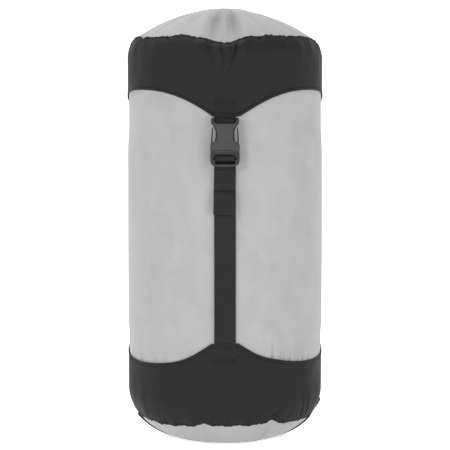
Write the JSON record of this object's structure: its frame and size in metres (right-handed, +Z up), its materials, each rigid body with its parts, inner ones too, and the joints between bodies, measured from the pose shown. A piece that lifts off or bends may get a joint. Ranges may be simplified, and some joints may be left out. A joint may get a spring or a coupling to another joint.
{
  "type": "compression sack",
  "caption": "Round compression sack with scalloped dark end covers on a light fabric tube, drawn down by webbing straps with side-release buckles; gathered mouth under a lift-off lid.",
  "frame": {"origin": "middle of the base, where the sack stands", "axes": "+Z up along the sack's axis, -Y towards the front strap, +X to the right seen from the front"},
  "size_m": [0.1944, 0.2002, 0.4239],
  "materials": {
    "light_fabric": "satin",
    "dark_fabric": "satin",
    "webbing": "matte",
    "thread": "matte",
    "cord": "matte",
    "acetal": "satin",
    "spring_steel": "satin"
  },
  "bodies": {
    "base": {"base_disc": "light_fabric", "base_band": "dark_fabric", "base_seam": "dark_fabric", "base_handle": "webbing", "base_bar_tacks": "thread", "sack_tube": "light_fabric", "strap_front": "webbing", "strap_rear_right": "webbing", "strap_rear_left": "webbing"},
    "sack_top": {"sack_shoulder": "light_fabric", "neck_channel": "light_fabric", "neck_ruffle": "light_fabric", "drawcord": "cord", "drawcord_knot": "cord", "buckle_plug_front": "acetal", "buckle_plug_rear_right": "acetal", "buckle_plug_rear_left": "acetal", "strap_bight_front": "webbing", "strap_bight_rear_right": "webbing", "strap_bight_rear_left": "webbing"},
    "lid": {"lid_dome": "light_fabric", "lid_seam": "dark_fabric", "lid_band": "dark_fabric", "lid_bar_tacks": "thread", "lid_loop_front": "webbing", "lid_loop_rear_right": "webbing", "lid_loop_rear_left": "webbing", "buckle_socket_front": "acetal", "buckle_socket_rear_right": "acetal", "buckle_socket_rear_left": "acetal"},
    "cord_lock": {"cord_lock_barrel": "acetal", "cord_lock_spring": "spring_steel"},
    "lock_plunger": {"cord_lock_plunger": "acetal"},
    "arm_right_front": {"latch_right_front": "acetal"},
    "arm_left_front": {"latch_left_front": "acetal"},
    "tail_front": {"strap_tail_front": "webbing"},
    "tail_end_front": {"tail_hem_front": "webbing"},
    "arm_right_rear_right": {"latch_right_rear_right": "acetal"},
    "arm_left_rear_right": {"latch_left_rear_right": "acetal"},
    "tail_rear_right": {"strap_tail_rear_right": "webbing"},
    "tail_end_rear_right": {"tail_hem_rear_right": "webbing"},
    "arm_right_rear_left": {"latch_right_rear_left": "acetal"},
    "arm_left_rear_left": {"latch_left_rear_left": "acetal"},
    "tail_rear_left": {"strap_tail_rear_left": "webbing"},
    "tail_end_rear_left": {"tail_hem_rear_left": "webbing"}
  },
  "joints": [
    {"name": "compress", "type": "slide", "parent": "base", "child": "sack_top", "axis": [0, 0, 1], "range_m": [-0.11, 0], "deforming": ["sack_tube", "strap_front", "strap_rear_right", "strap_rear_left"]},
    {"name": "lid_lift", "type": "slide", "parent": "sack_top", "child": "lid", "axis": [0, 0, 1], "range_m": [0, 0.15], "deforming": ["latch_right_front", "latch_left_front", "latch_right_rear_right", "latch_left_rear_right", "latch_right_rear_left", "latch_left_rear_left"]},
    {"name": "cord_lock_slide", "type": "slide", "parent": "sack_top", "child": "cord_lock", "axis": [0, -1, 0], "range_m": [0, 0.009]},
    {"name": "plunger_press", "type": "slide", "parent": "cord_lock", "child": "lock_plunger", "axis": [-1, 0, 0], "range_m": [0, 0.004], "stiffness_N_per_m": 250, "deforming": ["cord_lock_spring"]},
    {"name": "squeeze_right_front", "type": "hinge", "parent": "sack_top", "child": "arm_right_front", "pos_m": [0.0095, -0.1004, 0.2853], "axis": [0, -1, 0], "range_deg": [0, 7], "stiffness_Nm_per_rad": 0.5},
    {"name": "squeeze_left_front", "type": "hinge", "parent": "sack_top", "child": "arm_left_front", "pos_m": [-0.0095, -0.1004, 0.2853], "axis": [0, 1, 0], "range_deg": [0, 7], "stiffness_Nm_per_rad": 0.5},
    {"name": "tail_swing_front", "type": "hinge", "parent": "sack_top", "child": "tail_front", "pos_m": [0, -0.0967, 0.2682], "axis": [-1, 0, 0], "range_deg": [0, 90]},
    {"name": "tail_pull_front", "type": "slide", "parent": "tail_front", "child": "tail_end_front", "axis": [0, 0, 1], "range_m": [-0.11, 0], "deforming": ["strap_tail_front"]},
    {"name": "squeeze_right_rear_right", "type": "hinge", "parent": "sack_top", "child": "arm_right_rear_right", "pos_m": [0.0822, 0.05843, 0.2853], "axis": [0.866, 0.5, 0], "range_deg": [0, 7], "stiffness_Nm_per_rad": 0.5},
    {"name": "squeeze_left_rear_right", "type": "hinge", "parent": "sack_top", "child": "arm_left_rear_right", "pos_m": [0.0917, 0.04197, 0.2853], "axis": [-0.866, -0.5, 0], "range_deg": [0, 7], "stiffness_Nm_per_rad": 0.5},
    {"name": "tail_swing_rear_right", "type": "hinge", "parent": "sack_top", "child": "tail_rear_right", "pos_m": [0.08374, 0.04835, 0.2682], "axis": [0.5, -0.866, 0], "range_deg": [0, 90]},
    {"name": "tail_pull_rear_right", "type": "slide", "parent": "tail_rear_right", "child": "tail_end_rear_right", "axis": [0, 0, 1], "range_m": [-0.11, 0], "deforming": ["strap_tail_rear_right"]},
    {"name": "squeeze_right_rear_left", "type": "hinge", "parent": "sack_top", "child": "arm_right_rear_left", "pos_m": [-0.0917, 0.04197, 0.2853], "axis": [-0.866, 0.5, 0], "range_deg": [0, 7], "stiffness_Nm_per_rad": 0.5},
    {"name": "squeeze_left_rear_left", "type": "hinge", "parent": "sack_top", "child": "arm_left_rear_left", "pos_m": [-0.0822, 0.05843, 0.2853], "axis": [0.866, -0.5, 0], "range_deg": [0, 7], "stiffness_Nm_per_rad": 0.5},
    {"name": "tail_swing_rear_left", "type": "hinge", "parent": "sack_top", "child": "tail_rear_left", "pos_m": [-0.08374, 0.04835, 0.2682], "axis": [0.5, 0.866, 0], "range_deg": [0, 90]},
    {"name": "tail_pull_rear_left", "type": "slide", "parent": "tail_rear_left", "child": "tail_end_rear_left", "axis": [0, 0, 1], "range_m": [-0.11, 0], "deforming": ["strap_tail_rear_left"]}
  ],
  "couplings": [
    {"joint": "tail_pull_front", "follows": "compress", "ratio": 1},
    {"joint": "tail_pull_rear_right", "follows": "compress", "ratio": 1},
    {"joint": "tail_pull_rear_left", "follows": "compress", "ratio": 1}
  ]
}
